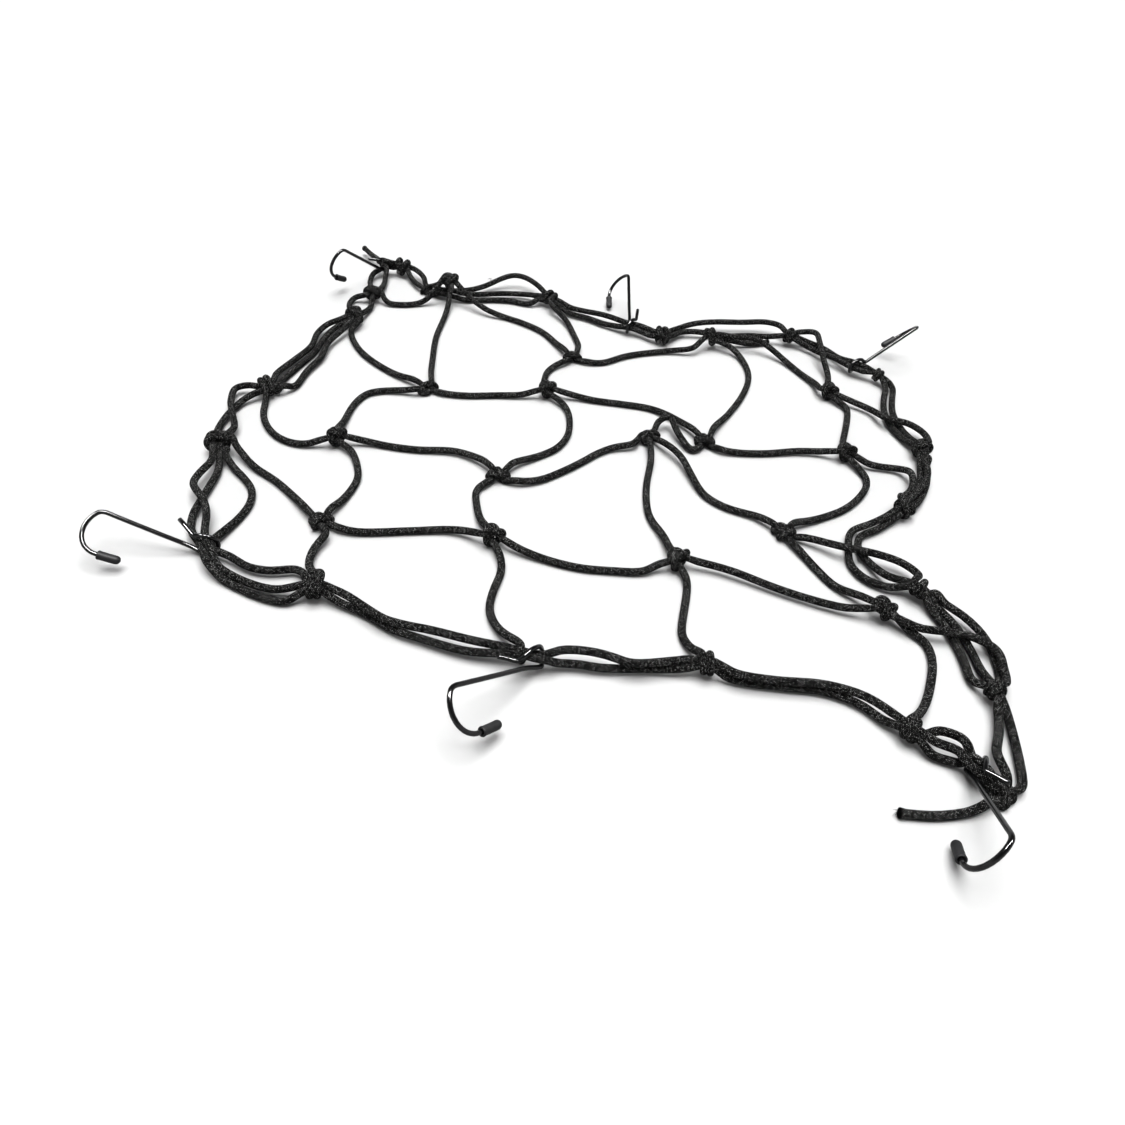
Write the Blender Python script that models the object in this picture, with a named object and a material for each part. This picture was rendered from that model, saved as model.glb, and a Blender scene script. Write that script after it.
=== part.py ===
"""Luggage net: elastic cord knotted into a loose square mesh, with six wire hooks whose ends wear rubber caps.

Sizes are in millimetres. The net lies on the surface z = 0, its hooks standing on end where they fell.
"""

from collections import namedtuple
from math import cos, radians, sin, sqrt, tau

import bmesh
import bpy
from mathutils import Matrix, Vector

MM = 0.001

# Cord: 4.5 mm elastic. Its tube has six sides, one of them facing down.
CORD_CORNER_R = 2.4
CORD_LIE = CORD_CORNER_R * sqrt(3) / 2
CORD_TURN = radians(20)
CORD_STEP = 30.0
CORD_ROOT = 2.5

# Knot: a turned body with two ridges, (along, radius). A spool's waist holds a hook's eye.
KNOT_LIE = 4.25
KNOT_PROFILE = [(-6.6, 0), (-2.7, 5.8), (0, 4.6), (2.7, 5.8), (6.6, 0)]
SPOOL_PROFILE = [(-9.8, 0), (-5.8, 5.0), (-3.6, 3.2), (3.6, 3.2), (5.8, 5.0), (9.8, 0)]
SPOOL_LOBE = 6.0
KNOT_SIDES = 8

# Hook: 2.4 mm wire, its eye round a spool, and a 12 mm rubber cap on its point.
WIRE_R = 1.25
EYE_R = 5.0
SHANK = 55.0
THROAT = 23.0
ARC = [(-7.0, 23.0), (-3.2, 22.6), (0.8, 20.6), (3.8, 17.0), (5.2, 12.4), (5.0, 7.6), (3.4, 3.3), (1.2, 0.7), (-1.6, 0)]
CAP_LENGTH = 12.0
CAP_R = 2.5
CAP_BORE_R = 1.7
CAP_BORE = 8.0
CAP_SIDES = 8
END_GAP = 0.3

# The middle of the whole part in plan, which becomes x = y = 0.
CENTRE = Vector((-10.37, 53.21, 0.0))

Knot = namedtuple("Knot", "x y z axis")
KNOTS = {
    # inside the net: x, y, height of the middle (None lies on the surface)
    "h": Knot(-153, -41, None, None),
    "i": Knot(-54, -46, None, None),
    "j": Knot(50, -54, None, None),
    "n": Knot(158, -83, 6, None),
    "d": Knot(-163, 41, None, None),
    "e": Knot(-58, 18, None, None),
    "f": Knot(37, 75, 7, None),
    "k": Knot(114, -17, None, None),
    "a": Knot(-118, 116, None, None),
    "c": Knot(-34, 122, None, None),
    "g": Knot(74, 76, None, None),
    "l": Knot(167, 70, None, None),
    "p": Knot(-123, 268, 16, None),
    "b": Knot(-19, 179, None, None),
    "o": Knot(90, 218, 9, None),
    "m": Knot(170, 151, None, None),
    # round the edge
    "F1": Knot(-139, -101, None, None),
    "F3": Knot(60, -134, 7, None),
    "F4": Knot(152, -165, 6, None),
    "R1": Knot(200, -137, None, None),
    "R2": Knot(181, -64, None, None),
    "R3": Knot(191, 10, None, None),
    "R4": Knot(219, 80, None, None),
    "B4": Knot(153, 233, 7, None),
    "B3": Knot(50, 218, None, None),
    "B2": Knot(-41, 270, 7, None),
    "B1": Knot(-144, 275, None, None),
    "L1": Knot(-232, 23, None, None),
    "L2": Knot(-223, 94, None, None),
    "L3": Knot(-190, 211, None, None),
    "L4": Knot(-185, 253, None, None),
    "NR": Knot(187, -195, None, None),
    "FR": Knot(212, 181, 7, None),
    "FLk": Knot(-171, 309, 8, None),
    # spools under the hooks' eyes, with their axis in degrees
    "NL": Knot(-205, -74, 6.5, -54),
    "F2": Knot(-22, -139, 8.5, -5),
    "NRh": Knot(177, -183, 7.5, -58),
    "FL": Knot(-186, 307, 9, -15),
    "BM": Knot(25, 231, 7, -12),
    "FRh": Knot(196, 191, 8, -40),
}

Strand = namedtuple("Strand", "start end via")
STRANDS = [
    # rows, front to back: points between two knots, which lie on the surface if they have no height
    Strand("h", "i", [(-139, -48, 3.5), (-128, -48), (-100, -43), (-78, -40, 3)]),
    Strand("i", "j", [(-38, -54, 4), (-20, -60), (-3, -64), (15, -64), (33, -63, 3)]),
    Strand("j", "n", [(65, -55, 5), (81, -60, 5), (101, -69, 4), (121, -77, 4), (141, -83, 5)]),
    Strand("d", "e", [(-147, 43, 3.5), (-132, 41), (-112, 39), (-88, 40, 3), (-72, 33, 4)]),
    Strand("e", "f", [(-44, 11, 4), (-33, 15, 2.5), (-22, 24), (-8, 38), (6, 54), (16, 60, 3), (28, 62, 5)]),
    Strand("f", "k", [(49, 71, 8), (56, 52, 6), (63, 32, 4), (70, 14), (82, 3), (100, -4, 3)]),
    Strand("a", "c", [(-115, 106, 3.5), (-104, 111), (-88, 111), (-68, 115), (-48, 117, 3.5)]),
    Strand("c", "g", [(-18, 121, 4), (0, 118), (22, 116), (40, 113), (51, 105, 3), (63, 92, 4)]),
    Strand("g", "l", [(83, 65, 4), (97, 65), (115, 67), (137, 72, 3), (153, 72, 4)]),
    Strand("p", "b", [(-109, 263, 12), (-99, 249, 9), (-89, 242, 5), (-74, 238), (-56, 228), (-42, 216), (-29, 194, 3.5)]),
    Strand("b", "o", [(-9, 173, 3.5), (-2, 173), (6, 175), (20, 187), (38, 196), (58, 202, 3), (75, 203, 6)]),
    Strand("o", "m", [(109, 217, 11), (123, 217, 11), (135, 210, 7), (146, 198, 3), (156, 180), (164, 163, 4)]),
    # columns, left to right
    Strand("h", "d", [(-147, -27, 4), (-143, -12), (-141, 3), (-145, 18), (-151, 31, 3.5)]),
    Strand("d", "a", [(-164, 59, 4), (-164, 76), (-162, 92), (-157, 104), (-147, 109), (-134, 110, 3)]),
    Strand("a", "p", [(-118, 135, 4), (-121, 160), (-124, 195), (-123, 225), (-121, 244, 6)]),
    Strand("i", "e", [(-62, -32, 4), (-67, -13), (-69, 2), (-66, 11, 3.5)]),
    Strand("e", "c", [(-46, 33, 4), (-35, 42), (-24, 52), (-17, 68), (-16, 84), (-19, 104), (-27, 117, 4)]),
    Strand("c", "b", [(-37, 138, 4), (-36, 154), (-30, 164, 3)]),
    Strand("j", "f", [(44, -33, 3.5), (36, -14), (34, 4), (35, 25), (38, 47, 3), (41, 64, 5)]),
    Strand("f", "g", [(43, 86, 8), (52, 96, 8), (54, 85, 7), (59, 73, 4), (66, 61, 2.5), (71, 66, 3.5)]),
    Strand("g", "o", [(79, 87, 4), (93, 112), (106, 140), (114, 168), (114, 187), (108, 206, 4)]),
    Strand("n", "k", [(146, -78, 4), (137, -63), (128, -47), (121, -33, 3)]),
    Strand("k", "l", [(125, -8, 4), (140, 0), (156, 11), (170, 28), (177, 45), (173, 58, 3.5)]),
    Strand("l", "m", [(168, 85, 4), (174, 104), (179, 122), (181, 136, 2.5), (176, 146, 4)]),
    # from the inside to the edge
    Strand("h", "F1", [(-151, -51, 4), (-150, -62), (-147, -79, 3.5)]),
    Strand("i", "F2", [(-49, -57, 4), (-46, -70), (-49, -88), (-49, -104), (-40, -121, 4)]),
    Strand("j", "F3", [(54, -63, 4), (55, -72), (52, -92), (50, -110), (54, -123, 4)]),
    Strand("n", "F4", [(168, -93, 4.5), (177, -101), (177, -114), (172, -130), (164, -147, 4)]),
    Strand("n", "R1", [(170, -95, 6), (187, -97, 7), (201, -100, 7), (210, -108, 7), (209, -123, 6)]),
    Strand("k", "R2", [(130, -25, 5), (145, -34, 8), (163, -38, 8), (177, -43, 7), (184, -54, 7)]),
    Strand("l", "R3", [(179, 63, 4), (197, 62, 4), (207, 51, 6), (202, 31, 6)]),
    Strand("m", "R4", [(182, 152, 4), (197, 133, 4), (204, 115, 8), (218, 110, 8), (227, 102, 6)]),
    Strand("m", "B4", [(175, 176, 3), (173, 196, 9), (173, 217, 12), (172, 235, 12), (162, 236, 10)]),
    Strand("b", "B2", [(-14, 196, 3), (-19, 218), (-26, 238, 4)]),
    Strand("p", "L4", [(-137, 260, 9), (-145, 256, 3), (-158, 248), (-172, 247, 3)]),
    Strand("a", "L3", [(-138, 129, 3), (-155, 142), (-171, 158), (-182, 175), (-189, 194, 3.5)]),
    Strand("d", "L2", [(-178, 35, 3), (-192, 36), (-206, 46), (-217, 64), (-221, 83, 3)]),
    Strand("h", "L1", [(-172, -22, 3), (-188, -6), (-206, 7, 3)]),
    # the front edge
    Strand("NL", "F1", [(-192, -79, 5), (-180, -86, 4), (-167, -88, 4), (-153, -84, 4)]),
    Strand("NL", "F1", [(-195, -89, 4), (-179, -97, 4), (-159, -102, 4)]),
    Strand("NL", "F1", [(-199, -88, 6), (-185, -98, 2), (-168, -106, 2.5), (-152, -109, 3)]),
    Strand("F1", "F2", [(-124, -104, 7), (-111, -113, 7), (-97, -122, 7), (-77, -125, 7), (-50, -132, 8)]),
    Strand("F1", "F2", [(-127, -107, 4), (-112, -113, 3), (-96, -123, 4), (-76, -130, 4), (-50, -137, 5)]),
    Strand("F2", "F3", [(-3, -132, 9), (10, -135, 9), (23, -139, 9), (41, -135, 8)]),
    Strand("F2", "F3", [(-3, -139, 4.5), (8, -139, 4), (28, -137, 3.5), (46, -136, 4.5)]),
    Strand("F3", "F4", [(72, -139, 8), (94, -141, 7), (116, -141, 7), (134, -146, 7), (144, -154, 7)]),
    Strand("F3", "F4", [(72, -139, 3.5), (96, -141, 3), (118, -142, 3), (134, -149, 3), (142, -158, 3.5)]),
    Strand("F4", "NRh", [(162, -163, 6), (169, -166, 7)]),
    Strand("F4", "NRh", [(159, -173, 9), (165, -176, 9)]),
    Strand("F4", "NRh", [(158, -175, 3), (165, -179, 3.5)]),
    # the right edge
    Strand("NRh", "NR", []),
    Strand("NR", "R1", [(190, -184, 7), (195, -165, 5), (199, -150, 5)]),
    Strand("NR", "R1", [(198, -181, 4), (202, -164, 3), (204, -149, 4)]),
    Strand("R1", "R2", [(193, -129, 3.5), (193, -113, 3), (191, -93, 3), (185, -75, 4)]),
    Strand("R1", "R2", [(200, -121, 3), (199, -104, 2.5), (196, -87, 2.5), (189, -74, 4)]),
    Strand("R1", "R2", [(208, -125, 3), (209, -107, 2.5), (207, -90, 2.5), (197, -74, 4)]),
    Strand("R2", "R3", [(167, -62, 4), (155, -55, 3), (149, -42, 2.5), (151, -27, 3), (154, -14, 4), (166, -8, 6), (179, 1, 7)]),
    Strand("R2", "R3", [(167, -55, 6), (160, -41, 3.5), (156, -28, 3), (160, -16, 3), (172, -8, 3), (183, 2, 4)]),
    Strand("R3", "R4", [(198, 16, 8), (206, 29, 8), (212, 46, 8), (215, 63, 8)]),
    Strand("R3", "R4", [(203, 19, 4), (212, 34, 3), (219, 51, 2.5), (221, 66, 3.5)]),
    Strand("R4", "FR", [(213, 96, 3), (208, 111, 3), (207, 131, 3), (211, 151, 3), (216, 169, 4)]),
    Strand("R4", "FR", [(218, 94, 4), (214, 111, 3), (213, 131, 3), (217, 151, 3), (221, 169, 4)]),
    Strand("FR", "FRh", [(205, 186, 9)]),
    # the back edge
    Strand("FRh", "B4", [(182, 203, 7), (174, 214, 5), (165, 225, 5)]),
    Strand("FRh", "B4", [(186, 211, 5), (178, 222, 5), (167, 233, 5)]),
    Strand("B4", "B3", [(148, 247, 9), (137, 253, 9), (116, 251, 8), (94, 248, 8), (77, 244, 7), (63, 234, 6)]),
    Strand("B4", "B3", [(136, 233, 6), (119, 236, 4), (103, 232, 4), (75, 234, 5), (61, 228, 5)]),
    Strand("B4", "o", [(136, 230, 3), (124, 225, 2.5), (111, 223, 4)]),
    Strand("B3", "BM", [(39, 226, 8)]),
    Strand("BM", "B2", [(13, 242, 7), (2, 250, 6), (-10, 255, 5), (-24, 254, 6)]),
    Strand("BM", "B2", [(12, 235, 4), (2, 240, 3), (-8, 247, 3), (-24, 254, 3.5)]),
    Strand("B2", "B1", [(-51, 287, 9), (-65, 302, 10), (-75, 304, 10), (-86, 298, 8), (-97, 289, 5), (-113, 279, 4)]),
    Strand("B2", "B1", [(-62, 281, 4), (-82, 279, 4), (-103, 273, 4), (-125, 272, 4)]),
    Strand("B2", "B1", [(-56, 266, 3), (-76, 270, 2.5), (-98, 267, 2.5), (-122, 262, 2.5)]),
    # the left edge
    Strand("B1", "FLk", [(-149, 292, 6), (-155, 302, 7), (-162, 307, 8)]),
    Strand("B1", "FLk", [(-156, 287, 4), (-163, 299, 5)]),
    Strand("FLk", "FL", []),
    Strand("FL", "L4", [(-193, 300, 5), (-193, 280, 4)]),
    Strand("FL", "L4", [(-183, 297, 5), (-181, 278, 4)]),
    Strand("L4", "L3", [(-198, 251, 4), (-201, 240, 3), (-197, 226, 4)]),
    Strand("L4", "L3", [(-182, 246, 4), (-183, 237, 3), (-185, 225, 4)]),
    Strand("L3", "L2", [(-206, 197, 6), (-212, 184, 4), (-211, 161, 4), (-218, 139, 3.5), (-224, 117, 4)]),
    Strand("L3", "L2", [(-201, 196, 3.5), (-206, 178, 2.5), (-207, 157, 2.5), (-213, 134, 2.5), (-218, 113, 3)]),
    Strand("L3", "L2", [(-194, 187, 6), (-200, 167, 5), (-200, 147, 4), (-205, 127, 3), (-208, 103, 3), (-213, 90, 3)]),
    Strand("L2", "L1", [(-235, 96, 6), (-244, 93, 5), (-243, 80, 5), (-235, 58, 7), (-229, 44, 5)]),
    Strand("L2", "L1", [(-234, 82, 4), (-239, 67, 3), (-240, 47, 3)]),
    Strand("L1", "NL", [(-228, 0, 6), (-229, -17, 6), (-225, -32, 7), (-221, -43, 5), (-218, -57, 5)]),
    Strand("L1", "NL", [(-226, 4, 3), (-226, -15, 2.5), (-221, -34, 2.5), (-213, -56, 4)]),
    Strand("L1", "NL", [(-221, 7, 3), (-208, -5), (-200, -20), (-198, -38), (-203, -58, 3.5)]),
    # the cord's two cut ends
    Strand("NR", None, [(176, -202, 5), (168, -205), (153, -208), (138, -208)]),
    Strand("FL", None, [(-193, 319, 8), (-201, 330, 7), (-212, 347, 6)]),
]

# Hooks: the spool each one hangs on, its shank's heading and rise, the turn of its throat about the shank, and its tail
Hook = namedtuple("Hook", "at heading rise turn tail")
HOOKS = {
    "near_left": Hook("NL", 177, 16, 331, 16),
    "front": Hook("F2", 228, 19, 317, 9),
    "near_right": Hook("NRh", 260, 22, 238, 9),
    "far_left": Hook("FL", 242, 30, 254, 8),
    "back": Hook("BM", 93, 20, 309, 10),
    "far_right": Hook("FRh", 26, 25, 319, 5),
}


def middle(name):
    knot = KNOTS[name]
    return Vector((knot.x, knot.y, KNOT_LIE if knot.z is None else knot.z))


def via_points(strand):
    return [Vector((p[0], p[1], p[2] if len(p) > 2 else CORD_LIE)) for p in strand.via]


def heading_vector(degrees):
    return Vector((cos(radians(degrees)), sin(radians(degrees)), 0))


def smooth(points, step=2.0):
    """Points about step apart on a centripetal Catmull-Rom curve through the given ones."""
    ends = [2 * points[0] - points[1], *points, 2 * points[-1] - points[-2]]
    curve = []
    for p0, p1, p2, p3 in zip(ends, ends[1:], ends[2:], ends[3:]):
        t1 = sqrt((p1 - p0).length)
        t2 = t1 + sqrt((p2 - p1).length)
        t3 = t2 + sqrt((p3 - p2).length)
        count = max(1, round((p2 - p1).length / step))
        for k in range(count):
            t = t1 + (t2 - t1) * k / count
            a1 = p0.lerp(p1, t / t1)
            a2 = p1.lerp(p2, (t - t1) / (t2 - t1))
            a3 = p2.lerp(p3, (t - t2) / (t3 - t2))
            b1 = a1.lerp(a2, t / t2)
            b2 = a2.lerp(a3, (t - t1) / (t3 - t1))
            curve.append(b1.lerp(b2, (t - t1) / (t2 - t1)))
    return [*curve, points[-1].copy()]


def thinned(points):
    """The points where the curve has turned or run far enough since the last one kept."""
    kept = [points[0]]
    going = points[1] - points[0]
    for k in range(1, len(points) - 1):
        ahead = points[k + 1] - points[k]
        run = (points[k] - kept[-1]).length
        if going.angle(ahead) > CORD_TURN or run > CORD_STEP:
            kept.append(points[k])
            going = ahead
    return [*kept, points[-1]]


def strand_route(strand):
    """The strand's line from just inside one knot to just inside the other."""
    via = via_points(strand)
    names = [strand.start] + ([strand.end] if strand.end else [])
    roots = []
    for name, other, near in zip(names, names[::-1], (0, -1)):
        toward = via[near] if via else middle(other)
        centre = middle(name)
        knot = KNOTS[name]
        if knot.axis is None:
            roots.append(centre + (toward - centre).normalized() * CORD_ROOT)
        else:
            along = heading_vector(knot.axis)
            side = 1 if (toward - centre).dot(along) > 0 else -1
            lobe = centre + along * side * SPOOL_LOBE
            roots.append(lobe + (toward - lobe).normalized() * 0.8)
    route = [roots[0], *via, *roots[1:]]
    line = thinned(smooth(route)) if len(route) > 2 else route
    return [Vector((p.x, p.y, max(p.z, CORD_LIE))) for p in line]


def knot_heading(name):
    """The line a knot's cords run along, taking each cord as an axis and not a direction."""
    knot = KNOTS[name]
    if knot.axis is not None:
        return heading_vector(knot.axis)
    total = Vector((0, 0))
    first = None
    for strand in STRANDS:
        if name not in (strand.start, strand.end) or not strand.via:
            continue
        near = via_points(strand)[0 if strand.start == name else -1]
        run = (near - middle(name)).to_2d().normalized()
        first = first or run
        total += Vector((run.x * run.x - run.y * run.y, 2 * run.x * run.y))
    if total.length < 0.6:
        total = Vector((first.x * first.x - first.y * first.y, 2 * first.x * first.y))
    half = total.normalized()
    turn = Vector((1, 0)).angle_signed(half) * -0.5
    return Vector((cos(turn), sin(turn), 0))


def add_object(name, mesh, hidden=False):
    thing = bpy.data.objects.new(name, mesh)
    bpy.context.scene.collection.objects.link(thing)
    if hidden:
        thing.hide_render = True
        thing.display_type = "WIRE"
    return thing


def turned(name, profile, sides, place):
    """A mesh of the (along, radius) profile turned about its x axis, then placed. A radius of 0 is one point."""
    shape = bmesh.new()
    rings = []
    for along, radius in profile:
        if radius == 0:
            rings.append([shape.verts.new((along, 0, 0))])
            continue
        angles = [tau * (k + 0.5) / sides for k in range(sides)]
        rings.append([shape.verts.new((along, radius * cos(t), radius * sin(t))) for t in angles])
    for one, two in zip(rings, rings[1:]):
        for k in range(sides):
            a, b = one[k % len(one)], one[(k + 1) % len(one)]
            c, d = two[(k + 1) % len(two)], two[k % len(two)]
            shape.faces.new([v for n, v in enumerate((a, b, c, d)) if v not in (a, b, c, d)[:n]])
    shape.transform(place)
    bmesh.ops.recalc_face_normals(shape, faces=shape.faces)
    mesh = bpy.data.meshes.new(name)
    shape.to_mesh(mesh)
    shape.free()
    return mesh


def swept(name, line, radius, flat_down):
    """A closed six-sided tube along the line."""
    curve = bpy.data.curves.new(name, "CURVE")
    curve.dimensions = "3D"
    curve.twist_mode = "Z_UP" if flat_down else "MINIMUM"
    curve.bevel_depth = radius * MM
    curve.bevel_resolution = 1
    curve.use_fill_caps = True
    spline = curve.splines.new("POLY")
    spline.points.add(len(line) - 1)
    for point, place in zip(spline.points, line):
        point.co = ((place - CENTRE) * MM).to_4d()
    helper = add_object(name, curve, hidden=True)
    bpy.context.view_layer.update()
    mesh = bpy.data.meshes.new_from_object(helper.evaluated_get(bpy.context.evaluated_depsgraph_get()))
    bpy.data.objects.remove(helper)
    shape = bmesh.new()
    shape.from_mesh(mesh)
    bmesh.ops.remove_doubles(shape, verts=shape.verts, dist=0.001 * MM)
    bmesh.ops.recalc_face_normals(shape, faces=shape.faces)
    shape.to_mesh(mesh)
    shape.free()
    mesh.name = name
    return mesh


def placed(centre, along):
    """The matrix that puts a turned body's x axis along a level line through the centre."""
    across = Vector((0, 0, 1)).cross(along)
    turn = Matrix((along, across, Vector((0, 0, 1)))).transposed().to_4x4()
    return Matrix.Scale(MM, 4) @ Matrix.Translation(centre - CENTRE) @ turn


def knot_mesh(name):
    profile = KNOT_PROFILE if KNOTS[name].axis is None else SPOOL_PROFILE
    mesh = turned("knot_" + name, profile, KNOT_SIDES, placed(middle(name), knot_heading(name)))
    for vertex in mesh.vertices:
        if vertex.co.z < 0.05 * MM:
            vertex.co.z = 0
    return mesh


def build_net():
    helpers = bpy.data.collections.new("net_parts")
    bpy.context.scene.collection.children.link(helpers)
    first, *others = KNOTS
    meshes = [knot_mesh(name) for name in others]
    for number, strand in enumerate(STRANDS):
        meshes.append(swept(f"strand_{number}", strand_route(strand), CORD_CORNER_R, True))
    for mesh in meshes:
        helper = add_object(mesh.name, mesh, hidden=True)
        bpy.context.scene.collection.objects.unlink(helper)
        helpers.objects.link(helper)
    net = add_object("net", knot_mesh(first))
    union = net.modifiers.new("strands", "BOOLEAN")
    union.operation = "UNION"
    union.solver = "EXACT"
    union.operand_type = "COLLECTION"
    union.collection = helpers


def hook_frame(hook):
    """The hook's spool middle, shank line, throat side, and the spool's axis."""
    heading, rise, turn = radians(hook.heading), radians(hook.rise), radians(hook.turn)
    shank = Vector((cos(heading) * cos(rise), sin(heading) * cos(rise), sin(rise)))
    level = Vector((-sin(heading), cos(heading), 0))
    throat = level * cos(turn) + shank.cross(level) * sin(turn)
    return middle(hook.at), shank, throat, heading_vector(KNOTS[hook.at].axis)


def hook_line(hook):
    """The wire's line: inside the cap, round the arc, along the shank, once round the spool, and the tail."""
    eye, shank, throat, axis = hook_frame(hook)
    bend = eye + shank * SHANK
    inside = ARC[0][0] - CAP_BORE + END_GAP
    line = [bend + shank * along + throat * across for along, across in [(inside, THROAT), *ARC]]
    out = (shank - axis * shank.dot(axis)).normalized()
    up = axis.cross(out)
    if up.z < 0:
        up = -up
    for degrees in range(-90, -301, -30):
        line.append(eye + (out * cos(radians(degrees)) + up * sin(radians(degrees))) * EYE_R)
    line.append(eye + out * (EYE_R + 1.6) + up * 2.2)
    line.append(line[-1] + (shank * cos(radians(15)) + up * sin(radians(15))) * hook.tail)
    return line


def build_hook(name, hook):
    add_object("hook_" + name, swept("hook_" + name, hook_line(hook), WIRE_R, False))
    eye, shank, throat, _ = hook_frame(hook)
    mouth = eye + shank * (SHANK + ARC[0][0]) + throat * THROAT
    along = -shank
    across = throat
    turn = Matrix((along, across, along.cross(across))).transposed().to_4x4()
    place = Matrix.Scale(MM, 4) @ Matrix.Translation(mouth - CENTRE) @ turn
    profile = [
        (CAP_BORE, 0),
        (CAP_BORE, CAP_BORE_R),
        (0, CAP_BORE_R),
        (0, CAP_R),
        (CAP_LENGTH - 1.6, CAP_R),
        (CAP_LENGTH - 0.4, CAP_R * 0.68),
        (CAP_LENGTH, 0),
    ]
    add_object("cap_" + name, turned("cap_" + name, profile, CAP_SIDES, place))


def main():
    for thing in list(bpy.data.objects):
        bpy.data.objects.remove(thing)
    build_net()
    for name, hook in HOOKS.items():
        build_hook(name, hook)


main()
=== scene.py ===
"""Luggage net of braided elastic cord with six capped wire hooks, lying loose on a pale floor.

The cords are laid along their routes, tied by listed knot patterns, and then pulled tight:
a short relaxation shortens every cord while cords, wire and floor keep their thickness.
Lengths are in millimetres up to the point where a mesh is made.
"""

from collections import namedtuple
from math import cos, floor, pi, radians, sin, sqrt, tau

import bmesh
import bpy
import numpy as np
from mathutils import Matrix


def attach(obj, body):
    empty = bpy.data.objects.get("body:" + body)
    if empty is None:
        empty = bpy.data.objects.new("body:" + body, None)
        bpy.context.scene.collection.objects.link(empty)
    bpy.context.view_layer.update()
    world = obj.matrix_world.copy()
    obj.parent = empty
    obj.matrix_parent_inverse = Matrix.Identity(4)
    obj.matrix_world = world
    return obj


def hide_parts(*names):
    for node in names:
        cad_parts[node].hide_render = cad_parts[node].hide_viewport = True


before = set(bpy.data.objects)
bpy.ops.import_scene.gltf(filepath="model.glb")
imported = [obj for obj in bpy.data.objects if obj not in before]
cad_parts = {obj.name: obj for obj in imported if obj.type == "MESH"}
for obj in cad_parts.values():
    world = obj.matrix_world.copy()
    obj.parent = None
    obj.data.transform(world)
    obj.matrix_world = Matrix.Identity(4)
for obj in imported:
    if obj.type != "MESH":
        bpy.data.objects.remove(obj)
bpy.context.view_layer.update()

MM = 0.001
# The middle of the part's box, in the plan's coordinates
CENTRE = np.array((-10.37, 53.21, 0.0))

# The cord's radius where it is free, in a mesh knot and in a hook's eye, and how far apart its points are
CORD_R = 2.15
KNOT_CORD_R = 1.62
EYE_CORD_R = 2.1
STEP = 1.5

# How near a knot's middle its pattern leads the cord, in place of the strand's own points
BEND_CLEAR = 13.0
HITCH_CLEAR = 9.5
CROWN_CLEAR = 5.5

# The knot that stands up at the back left: how far round it the cord is thicker, how thick, and its swelling
CROWN = "p"
CROWN_REACH = 9
CROWN_CORD_R = 1.75
CROWN_SWELL = 1.1

# How large the patterns are drawn: mesh knots by the knot cord's radius, edge knots by their own girth
KNOT_SIZE = {CROWN: 0.95, "o": 1.05}
USUAL_KNOT_SIZE = 0.88
HITCH_SIZE = 0.95
# How much the collar's cords count beside the loop's when a mesh knot is turned to face them
COLLAR_WEIGHT = 0.8

# Where a bundle's cords run in an edge knot and in an eye, by their number: aside and above, in cord radii
HITCH_ROWS = {1: [(0, 0)], 2: [(1.05, 0), (-1.05, 0)], 3: [(1.1, -0.5), (0, 1.2), (-1.1, -0.5)]}
EYE_ROWS = {2: [(-1.15, 0), (1.15, 0)], 3: [(-1.05, -0.55), (0, 1.15), (1.05, -0.55)]}
# How far to each side they run straight: in an edge knot in cord radii, in an eye in millimetres
HITCH_RUN = 2.6
EYE_RUN = 3.5

# Pulling tight: rounds in all, the gentle ones at the end, and how much of the way to the middle between its
# neighbours a point moves in a round of each kind
ROUNDS = 420
GENTLE_ROUNDS = 60
SHORTEN = 0.5
SHORTEN_GENTLY = 0.25

# How firmly a point is held to its route on the edge, in the mesh and by an eye, and how far from a knot the
# first two holds start and over what run they grow
EDGE_HOLD = 0.08
MESH_HOLD = 0.03
EYE_HOLD = 0.05
EDGE_FREE = (6, 8)
MESH_FREE = (9, 9)

# How near a knot's middle the cord is thinned and swells, how near it swells most, and each swelling's share
THIN_REACH = 5
HEART_REACH = 2
SWELL = 0.15
HEART_SWELL = 0.25
# How far from an eye the cord starts to be its free size again, and over what run
EYE_NARROW = (4, 6)

# Points that push apart: how near they are looked for and every how many rounds, up to how many points apart
# on one cord they don't push, and how often and how hard they push in a round
PAIR_REACH = 6.2
PAIR_EVERY = 8
NEIGHBOURS = 5
PUSHES = 2
PUSH = 1.4

# How near its middle a point is a knot's own, how strongly a knot is drawn back to its place, the height from
# which it stays raised, and how far a lower one sinks in a round
KNOT_REACH = 7.5
KNOT_PULL = 0.3
RAISED = 6.6
SINK = 0.04

# Hooks: the wire's radius, its eye's half width and half height, how far the bend is from the eye's middle,
# and the throat's width
WIRE_R = 1.25
EYE_OUT = 6.0
EYE_UP = 4.7
SHANK = 55.0
THROAT = 23.0
# The wire from its point round the bend, as distances along the shank and across the throat
TIP = [(-14.6, THROAT), (-11, THROAT)]
ARC = [
    (-7.0, THROAT), (-3.2, 22.6), (0.8, 20.6), (3.8, 17.0), (5.2, 12.4), (5.0, 7.6), (3.4, 3.3), (1.2, 0.7),
    (-1.6, 0),
]
# Points down the shank, as shares of the way from the bend to the eye
SHANK_POINTS = (0.04, 0.3, 0.6, 0.86)
# The eye's turn round its cords: degrees, and the share of its lean that it has by then
EYE_TURN = [
    (-90, -0.35), (-120, -0.3), (-150, -0.25), (-180, -0.2), (-210, -0.15), (-240, -0.05), (-270, 0.15),
    (-300, 0.5),
]

# A cord's or a wire's sides, how far a tube's ends are domed, in radii, and a direction that none starts in
SIDES = 14
END_DOME = 0.35
ASKEW = (0.31, 0.17, 0.93)
# How fast a cap bends up towards its tip, per millimetre
CAP_BEND = 0.004

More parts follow.
